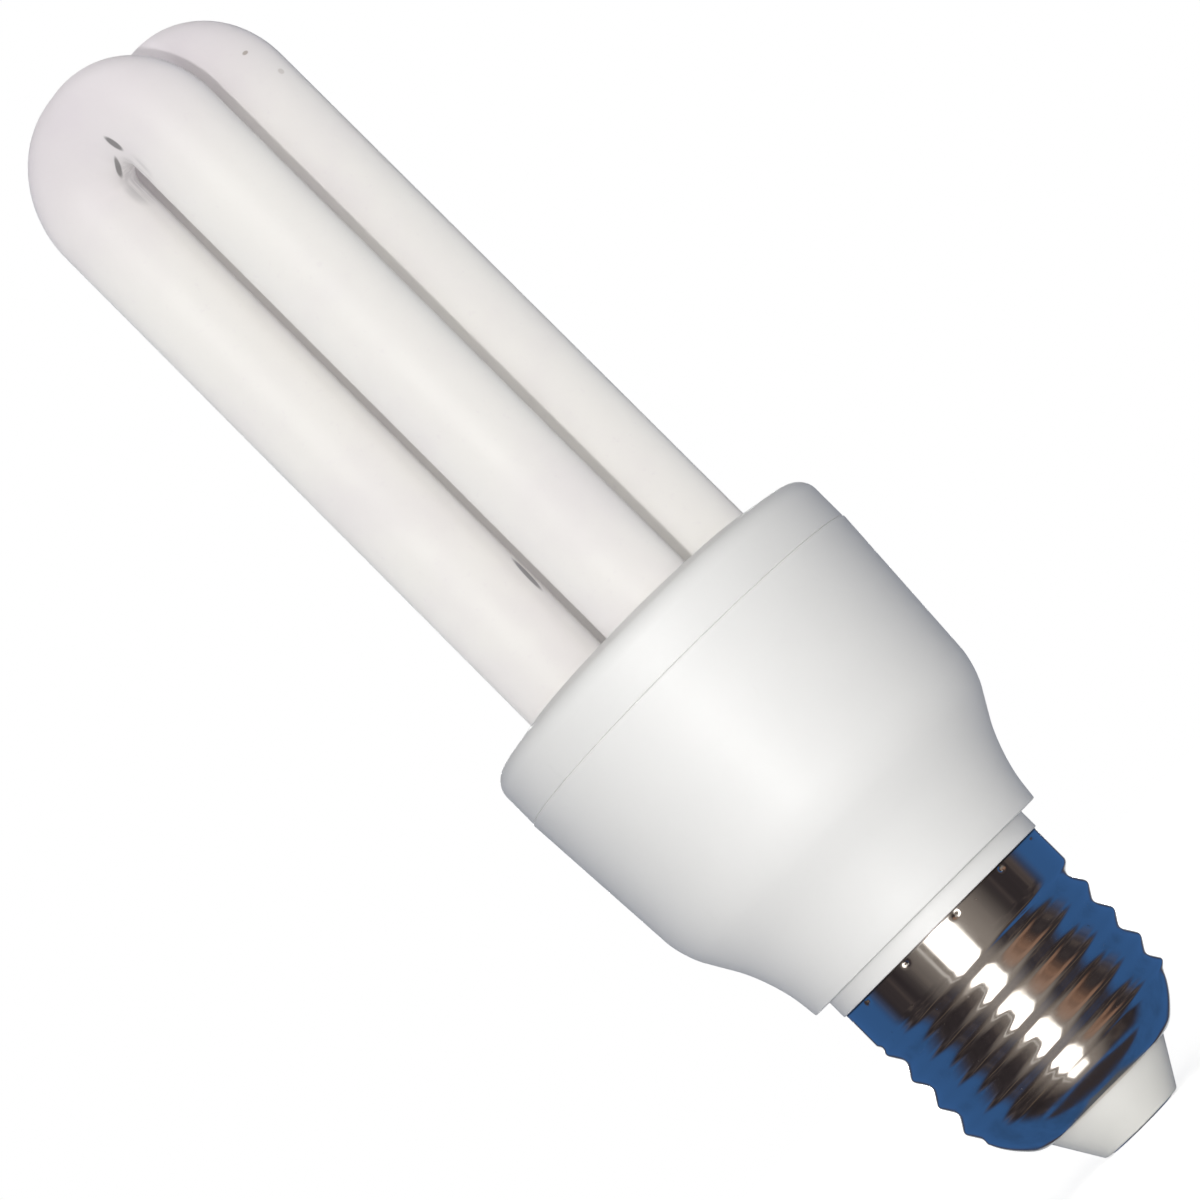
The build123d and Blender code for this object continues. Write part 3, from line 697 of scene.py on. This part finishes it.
class LAMP_OT_cover(bpy.types.Operator):
    """Turn the cover, cut its four tube holes and soften their edges"""

    bl_idname = "lamp.cover"
    bl_label = "Tube Cover"

    def profile(self, lamp):
        """The cover as turned, before its holes are cut."""
        spigot = lamp.rim_radius - lamp.spigot_inset
        cavity = spigot - lamp.spigot_wall
        spigot_z = lamp.cover_z - lamp.spigot_height
        ceiling_z = lamp.cover_top_z - lamp.cover_plate
        corners = [
            (0.0, lamp.cover_top_z),
            (lamp.cover_flat_radius, lamp.cover_top_z),
            (lamp.cover_radius, lamp.cover_top_z - lamp.cover_edge_drop),
            (lamp.cover_radius, lamp.cover_z),
            (spigot, lamp.cover_z),
            (spigot, spigot_z),
            (cavity, spigot_z),
            (cavity, ceiling_z),
            (0.0, ceiling_z),
        ]
        bm = bmesh.new()
        verts = chain(bm, corners)
        round_corner(bm, verts[1], lamp.cover_top_round, 8)
        round_corner(bm, verts[2], lamp.cover_corner_round, 14)
        round_corner(bm, verts[3], lamp.edge_round, 5)
        turned(bm, 180)
        return bm

    def drills(self, lamp, tube):
        """An object with a cylinder through each tube hole."""
        bm = bmesh.new()
        middle_z = lamp.cover_top_z - lamp.cover_plate / 2
        for x in (-tube.leg_pitch / 2, tube.leg_pitch / 2):
            for y in (-tube.u_pitch / 2, tube.u_pitch / 2):
                middle = Matrix.Translation((x, y, middle_z))
                add_cylinder(bm, lamp.hole_radius, 2 * lamp.cover_plate, 96, middle)
        return add_object("drills", bm)

    def is_hole_rim(self, edge, lamp, tube):
        """Whether an edge lies on the upper rim of a tube hole."""
        middle = (edge.verts[0].co + edge.verts[1].co) / 2
        reach = hypot(abs(middle.x) - tube.leg_pitch / 2, abs(middle.y) - tube.u_pitch / 2)
        on_top = all(abs(vert.co.z - lamp.cover_top_z) < MERGE_DISTANCE for vert in edge.verts)
        return on_top and abs(reach - lamp.hole_radius) < 0.02 * MM

    def execute(self, context):
        lamp = context.scene.lamp_housing
        tube = context.scene.lamp_tube
        colours = context.scene.lamp_finish
        cover = add_piece(
            "tube_cover_shell",
            self.profile(lamp),
            plastic_finish("white_cover", colours.housing, colours.housing_shade, 0.13),
            "white_cover",
            "tube_cover",
        )
        drills = self.drills(lamp, tube)
        drilling = cover.modifiers.new("tube_holes", "BOOLEAN")
        drilling.object = drills
        drilling.operation = "DIFFERENCE"
        drilling.solver = "EXACT"
        drilled = cover.evaluated_get(context.evaluated_depsgraph_get())
        bm = bmesh.new()
        bm.from_mesh(drilled.to_mesh())
        drilled.to_mesh_clear()
        cover.modifiers.remove(drilling)
        bpy.data.meshes.remove(drills.data)
        rims = [edge for edge in bm.edges if self.is_hole_rim(edge, lamp, tube)]
        bevel(bm, rims, lamp.hole_round, 3, "EDGES")
        bm.to_mesh(cover.data)
        bm.free()
        shade_smooth(cover.data)
        return {"FINISHED"}


class LAMP_OT_screw_shell(bpy.types.Operator):
    """Turn the screw shell and roll its thread, taper and punched dimples into the wall"""

    bl_idname = "lamp.screw_shell"
    bl_label = "Screw Shell"

    punch_count = 12
    punch_steepness = 2.5
    crest_flatness = 0.05

    def ease(self, share):
        """A smooth step from 0 to 1."""
        share = min(1.0, max(0.0, share))
        return share * share * (3 - 2 * share)

    def plain_radius(self, cap, z):
        """Outer radius of the wall without its thread: hem, bulging taper, root and band."""
        taper_top = cap.shell_z + cap.taper_height
        radius = cap.root_radius
        if z < taper_top:
            share = (taper_top - z) / cap.taper_height
            radius -= (cap.root_radius - cap.mouth_radius) * share
            radius += 4 * share * (1 - share) * cap.taper_bulge
        swell = self.ease((z - cap.band_z + cap.swell_height) / cap.swell_height)
        radius += (cap.band_radius - radius) * swell
        lip = max(0.0, 1.0 - (z - cap.shell_z) / cap.hem_round)
        return radius - (1.0 - sqrt(1.0 - lip * lip)) * cap.hem_round

    def wall_radius(self, cap, turn, z):
        """Outer radius of the shell at an angle and a height."""
        base = self.plain_radius(cap, z)
        turns = (z - cap.crest_start_z) / cap.pitch - turn / (2 * pi)
        flat = self.crest_flatness
        wave = 0.5 + (cos(2 * pi * turns) + flat * cos(6 * pi * turns)) / (2 + 2 * flat)
        run_in = self.ease((z - cap.shell_z - cap.taper_height + cap.run_in_drop) / cap.run_in_height)
        radius = base + max(0.0, cap.crest_radius - base) * wave * run_in
        spacing = 2 * pi / self.punch_count
        off_turn = (turn - cap.punch_angle + spacing / 2) % spacing - spacing / 2
        off = hypot(off_turn * cap.band_radius, z - cap.shell_top_z + cap.punch_drop)
        return radius - cap.punch_depth * exp(-((off / cap.punch_radius) ** 2) * self.punch_steepness)

    def execute(self, context):
        cap = context.scene.lamp_cap
        blank = cap.band_radius + 1.0 * MM
        taper_top = cap.shell_z + cap.taper_height
        hem_top = cap.shell_z + cap.sheet
        bore = cap.root_radius - cap.sheet
        band_bore = cap.band_radius - cap.sheet
        inner_taper = (cap.mouth_radius + 1.55 * MM, cap.shell_z + 2.1 * MM)
        hem_width = 0.35 * MM
        # Heights up the wall, each with the number of rings from there to the next
        levels = (
            (cap.shell_z, 9),
            (cap.shell_z + cap.hem_round, 22),
            (taper_top, 100),
            (cap.band_z, 5),
            (cap.shell_top_z - 2.4 * cap.punch_drop, 16),
            (cap.shell_top_z, 1),
        )
        corners = [(cap.hem_radius, cap.shell_z)]
        for (low, rings), (high, _) in zip(levels, levels[1:] + levels[-1:]):
            corners += [(blank, low + (high - low) * ring / rings) for ring in range(rings)]
        corners += [
            (band_bore, cap.shell_top_z),
            (band_bore, cap.band_z + cap.sheet / 2),
            (bore, cap.band_z - 0.65 * MM),
            (bore, taper_top),
            inner_taper,
            (cap.hem_radius + hem_width, hem_top),
            (cap.hem_radius, hem_top),
        ]
        bm = bmesh.new()
        chain(bm, corners, closed=True)
        turned(bm, 384)
        for vert in bm.verts:
            if hypot(vert.co.x, vert.co.y) > blank - MERGE_DISTANCE:
                turn = atan2(vert.co.y, vert.co.x)
                radius = self.wall_radius(cap, turn, vert.co.z)
                vert.co.x, vert.co.y = radius * cos(turn), radius * sin(turn)
        bmesh.ops.recalc_face_normals(bm, faces=bm.faces)
        add_piece("screw_shell_rolled", bm, nickel_finish(), "nickel_shell", "screw_shell")
        return {"FINISHED"}


class LAMP_OT_cap_end(bpy.types.Operator):
    """Turn the insulator and the centre contact at the end of the cap"""

    bl_idname = "lamp.cap_end"
    bl_label = "Insulator and Contact"

    gap = 0.05 * MM
    cone_round = 0.35 * MM
    recess_round = 0.1 * MM
    contact_round = 0.22 * MM

    def execute(self, context):
        cap = context.scene.lamp_cap
        colours = context.scene.lamp_finish
        disc_z = cap.shell_z + cap.sheet
        disc_top = disc_z + cap.disc_height
        recess = cap.contact_height
        recess_radius = cap.contact_radius + self.gap
        bore = cap.shank_radius + self.gap
        corners = [
            (recess_radius, cap.cone_z),
            (cap.cone_radius, cap.cone_z),
            (cap.neck_radius, cap.shell_z),
            (cap.neck_radius, disc_z),
            (cap.disc_radius, disc_z),
            (cap.disc_radius, disc_top),
            (bore, disc_top),
            (bore, recess),
            (recess_radius, recess),
        ]
        bm = bmesh.new()
        verts = chain(bm, corners, closed=True)
        round_corner(bm, verts[1], self.cone_round, 5)
        round_corner(bm, verts[0], self.recess_round, 3)
        turned(bm, 144)
        dull = [0.86 * channel for channel in colours.insulator]
        add_piece(
            "cap_insulator",
            bm,
            plastic_finish("white_insulator", colours.insulator, dull, 0.29),
            "white_insulator",
            "base_insulator",
        )
        bm = bmesh.new()
        corners = [
            (0.0, 0.0),
            (cap.contact_radius, 0.0),
            (cap.contact_radius, recess),
            (cap.shank_radius, recess),
            (cap.shank_radius, recess + cap.shank_length),
            (0.0, recess + cap.shank_length),
        ]
        verts = chain(bm, corners)
        round_corner(bm, verts[1], self.contact_round, 5)
        turned(bm, 96)
        add_piece(
            "cap_contact",
            bm,
            plain_finish("contact_metal", colours.solder, colours.solder_shade, 0.24, 500.0, 1.0, bump=0.3),
            "contact_metal",
            "centre_contact",
        )
        return {"FINISHED"}


class LAMP_OT_inner_parts(bpy.types.Operator):
    """Give the cement, the circuit board and all that stands on it their finishes"""

    bl_idname = "lamp.inner_parts"
    bl_label = "Inner Parts"

    # For each finish: two tones, roughness, scale of the grain, metallic
    looks = {
        "cement": ((0.62, 0.60, 0.54), (0.50, 0.48, 0.42), 0.85, 300.0, 0.0),
        "board_laminate": ((0.46, 0.33, 0.15), (0.38, 0.26, 0.11), 0.45, 260.0, 0.0),
        "tinned_metal": ((0.66, 0.66, 0.64), (0.50, 0.50, 0.49), 0.3, 900.0, 1.0),
        "can_sleeve": ((0.02, 0.03, 0.09), (0.03, 0.05, 0.13), 0.3, 150.0, 0.0),
        "ferrite": ((0.035, 0.034, 0.036), (0.06, 0.058, 0.06), 0.5, 600.0, 0.0),
        "bobbin_plastic": ((0.03, 0.03, 0.03), (0.05, 0.05, 0.05), 0.4, 200.0, 0.0),
        "enamelled_copper": ((0.45, 0.15, 0.05), (0.60, 0.24, 0.09), 0.25, 1200.0, 1.0),
        "black_epoxy": ((0.015, 0.015, 0.016), (0.03, 0.03, 0.03), 0.45, 500.0, 0.0),
        "film_coating": ((0.40, 0.07, 0.03), (0.30, 0.05, 0.02), 0.35, 250.0, 0.0),
        "resistor_coating": ((0.55, 0.42, 0.25), (0.45, 0.33, 0.19), 0.5, 400.0, 0.0),
        "trigger_glass": ((0.30, 0.10, 0.05), (0.20, 0.06, 0.04), 0.15, 500.0, 0.0),
        "wire_insulation": ((0.80, 0.80, 0.78), (0.70, 0.70, 0.67), 0.45, 300.0, 0.0),
    }
    wearers = {
        "cement": ["tube_cement"],
        "board_laminate": ["circuit_board"],
        "tinned_metal": ["lead_pins", "electrode_leads"],
        "can_sleeve": ["storage_capacitor"],
        "ferrite": ["choke_core", "drive_ring", "filter_inductor"],
        "bobbin_plastic": ["choke_bobbin"],
        "enamelled_copper": ["choke_winding", "drive_coils", "inductor_winding"],
        "black_epoxy": ["power_transistors", "rectifier_diodes"],
        "film_coating": ["resonant_capacitor", "coupling_capacitor"],
        "resistor_coating": ["resistors", "fuse_resistor"],
        "trigger_glass": ["trigger_diode"],
        "wire_insulation": ["live_wire", "neutral_wire"],
    }

    def execute(self, context):
        for name, look in self.looks.items():
            finish = plain_finish(name, *look)
            for node in self.wearers[name]:
                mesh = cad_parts[node].data
                mesh.materials.clear()
                mesh.materials.append(finish)
        return {"FINISHED"}


class LAMP_OT_stage(bpy.types.Operator):
    """Set the floor, the surroundings that the metal mirrors, the lights, the world and the camera"""

    bl_idname = "lamp.stage"
    bl_label = "Stage"

    surroundings_radius = 2.0
    aim_z = 75.0 * MM
    # Diameter, distance from the lamp's axis and height of each light, in millimetres
    light_places = {
        "key": (18.0, 500.0, 50.0),
        "front": (1100.0, 1100.0, 110.0),
        "top": (600.0, 0.0, 950.0),
        "rear": (300.0, 900.0, 160.0),
    }

    def add_prop(self, name, bm, finish):
        """Turn a bmesh into a stage object."""
        prop = add_object(name, bm)
        prop.data.materials.append(finish)
        return prop

    def seen(self, finish):
        """One where a ray comes from the camera or from a mirror or clear surface."""
        path = finish.node("LightPath").socket.node.outputs
        return Wire(path["Is Camera Ray"]) | Wire(path["Is Glossy Ray"]) | Wire(path["Is Transmission Ray"])

    def floor(self, stage):
        """A pale floor that keeps the lamp's shadow and is white further out."""
        finish = new_finish(
            "pale_floor",
            Base_Color=(*stage.floor, 1.0),
            Roughness=0.9,
            Specular_IOR_Level=0.0,
            Emission_Color=(1.0, 1.0, 1.0, 1.0),
        )
        x, y, _ = finish.axes(finish.place())
        shine = self.seen(finish) * finish.smooth(from_axis(x, y), 0.1, 0.9, 0.62, 1.0)
        bm = bmesh.new()
        bmesh.ops.create_circle(bm, cap_ends=True, radius=self.surroundings_radius, segments=96)
        floor = self.add_prop("floor", bm, finish.set(Emission_Strength=shine))
        floor.visible_glossy = False

    def surroundings(self, stage):
        """A sphere that only mirrors see: blue cloth behind, a dark room and warm wood in front."""
        finish = new_finish("surroundings")
        finish.tree.nodes.remove(finish.shader)
        turn = (0.0, 0.0, pi / 2 - stage.camera_azimuth)
        place = finish.node("Mapping", inputs={"Vector": finish.place(), "Rotation": turn})
        ahead, across, up = (axis * (1 / self.surroundings_radius) for axis in finish.axes(place))

        # Angles in degrees: side goes from the camera to the right, away is the same without its
        # sign, and lift goes up from the level.
        side = degrees_of(across, ahead)
        away = abs(side)
        lift = degrees_of(up, from_axis(ahead, across))
        cloth = finish.band(away, (86, 108), (168, 156))
        cloth = cloth * finish.band(lift, (-64, -50), (46, 30))
        warm = finish.band(side, (8, 24), (76, 50)) * finish.band(lift, (5, 12), (86, 72))
        haze = finish.band(side, (-62, -20), (58, 14))
        edge = finish.band(lift, (-34, -31), (-25, -28)) * finish.smooth(away, 96, 70)
        tall = finish.band(lift, (-62.5, -57.5), (76, 64))
        window = finish.band(side, (-24, -22), (9, 6)) * tall
        slit = finish.band(side, (-32, -31), (-28, -29)) * tall
        rear = finish.smooth(away, 166, 172) * finish.band(lift, (-24, -14), (60, 40))
        ceiling = finish.smooth(lift, 64, 76)
        gloom = finish.noise(finish.place(), 1.6, 4.0, 0.65)

        # Below the lamp: a ring of cloth round a dark, bowed oval with a pale spot beside it.
        below = finish.smooth(lift, -30, -44)
        ring = finish.smooth(ahead * -0.338 + up * -0.941, 0.72, 0.775)
        bow = (ahead + across * across * 0.9 - 0.15) * (1 / 0.18)
        oval = finish.smooth(bow * bow + across * across * (1 / 0.58**2), 1.12, 0.84) * below
        spot = finish.smooth(across * across, 0.06, 0.015) * finish.smooth(ahead, -0.10, -0.18) * below

        shade = stage.room
        for mask, tone in (
            (warm, stage.wood),
            (finish.smooth(gloom, 0.40, 0.68, 0.0, 0.5), stage.gloom),
            (finish.smooth(gloom, 0.5, 0.32, 0.0, 0.22), stage.patches),
            (edge * 0.4, stage.edge),
            (haze * (0.8 - warm * 0.5), stage.haze),
            (cloth | ring, stage.drape),
            (oval, stage.room),
            (spot, stage.bowl_rim),
            (window | slit * 0.5 | ceiling, stage.pane),
            (rear * 0.8, stage.rear_pane),
        ):
            shade = finish.blend(mask, shade, tone)
        emission = finish.node("Emission", inputs={"Color": shade, "Strength": 1.0 + window * 1.6})
        plug(finish.tree.nodes["Material Output"].inputs["Surface"], emission)
        bm = bmesh.new()
        bmesh.ops.create_uvsphere(bm, u_segments=48, v_segments=32, radius=self.surroundings_radius)
        sphere = self.add_prop("surroundings", bm, finish.owner)
        for ray in ("camera", "diffuse", "transmission", "shadow"):
            setattr(sphere, "visible_" + ray, False)

    def world(self, scene, stage):
        """Even light from all round, white to the camera and to mirrors."""
        scene.world = bpy.data.worlds.new("studio")
        finish = Finish(scene.world)
        background = next(n for n in finish.tree.nodes if n.type == "BACKGROUND")
        background.inputs["Color"].default_value = (1.0, 1.0, 1.0, 1.0)
        strength = self.seen(finish) * (1.0 - stage.ambient) + stage.ambient
        plug(background.inputs["Strength"], strength)

    def light(self, name, power, turn):
        """A round light that points at the middle of the lamp."""
        size, distance, height = (value * MM for value in self.light_places[name])
        data = bpy.data.lights.new(name, "AREA")
        data.shape = "DISK"
        data.size = size
        data.energy = power
        light = bpy.data.objects.new(name, data)
        bpy.context.scene.collection.objects.link(light)
        light.location = (sin(turn) * distance, -cos(turn) * distance, height)
        aim = Vector((0.0, 0.0, self.aim_z)) - light.location
        light.rotation_euler = aim.to_track_quat("-Z", "Y").to_euler()
        light.visible_camera = False
        return light

    def lights(self, stage):
        """A small key beside the camera, and soft lights in front, above and behind."""
        facing = stage.camera_azimuth
        self.light("key", stage.key_power, facing - stage.key_turn)
        front = self.light("front", stage.front_power, facing)
        front.visible_glossy = False
        self.light("top", stage.top_power, 0.0)
        self.light("rear", stage.rear_power, facing + pi)

    def camera(self, stage):
        """The camera at the photo's distance, looking a little up, rolled to lean the lamp."""
        azimuth, drop = stage.camera_azimuth, stage.camera_drop
        right = Vector((cos(azimuth), sin(azimuth), 0.0))
        towards = Vector((sin(azimuth) * cos(drop), -cos(azimuth) * cos(drop), -sin(drop)))
        aim = Vector((0.0, 0.0, stage.camera_height)) - right * stage.camera_offset
        data = bpy.data.cameras.new("camera")
        data.lens = stage.lens
        data.sensor_width = 36.0
        data.clip_start = 0.01
        data.clip_end = 20.0
        camera = bpy.data.objects.new("camera", data)
        bpy.context.scene.collection.objects.link(camera)
        camera.location = aim + towards * stage.camera_distance
        upright = (-towards).to_track_quat("-Z", "Y")
        camera.rotation_euler = (upright @ Quaternion((0, 0, 1), -stage.camera_roll)).to_euler()
        bpy.context.scene.camera = camera

    def execute(self, context):
        scene = context.scene
        stage = scene.lamp_stage
        scene.view_settings.view_transform = "Standard"
        self.floor(stage)
        self.surroundings(stage)
        self.world(scene, stage)
        self.lights(stage)
        self.camera(stage)
        return {"FINISHED"}


OPERATORS = (
    LAMP_OT_discharge_tubes,
    LAMP_OT_cover,
    LAMP_OT_housing,
    LAMP_OT_screw_shell,
    LAMP_OT_cap_end,
    LAMP_OT_inner_parts,
    LAMP_OT_stage,
)


class LAMP_PT_pieces(bpy.types.Panel):
    """Buttons that add each piece of the lamp"""

    bl_idname = "LAMP_PT_pieces"
    bl_label = "Compact Fluorescent Lamp"
    bl_space_type = "VIEW_3D"
    bl_region_type = "UI"
    bl_category = "Lamp"

    def draw(self, context):
        for operator in OPERATORS:
            self.layout.operator(operator.bl_idname)


SETTINGS = {
    "lamp_tube": LampTubeSettings,
    "lamp_housing": LampHousingSettings,
    "lamp_cap": LampCapSettings,
    "lamp_finish": LampFinishSettings,
    "lamp_stage": LampStageSettings,
}


def register():
    for cls in (*SETTINGS.values(), *OPERATORS, LAMP_PT_pieces):
        bpy.utils.register_class(cls)
    for name, cls in SETTINGS.items():
        setattr(bpy.types.Scene, name, bpy.props.PointerProperty(type=cls))


def unregister():
    for name in SETTINGS:
        delattr(bpy.types.Scene, name)
    for cls in (LAMP_PT_pieces, *reversed(OPERATORS), *SETTINGS.values()):
        bpy.utils.unregister_class(cls)


def main():
    register()
    for operator in OPERATORS:
        group, name = operator.bl_idname.split(".")
        getattr(getattr(bpy.ops, group), name)()


if __name__ == "__main__":
    main()
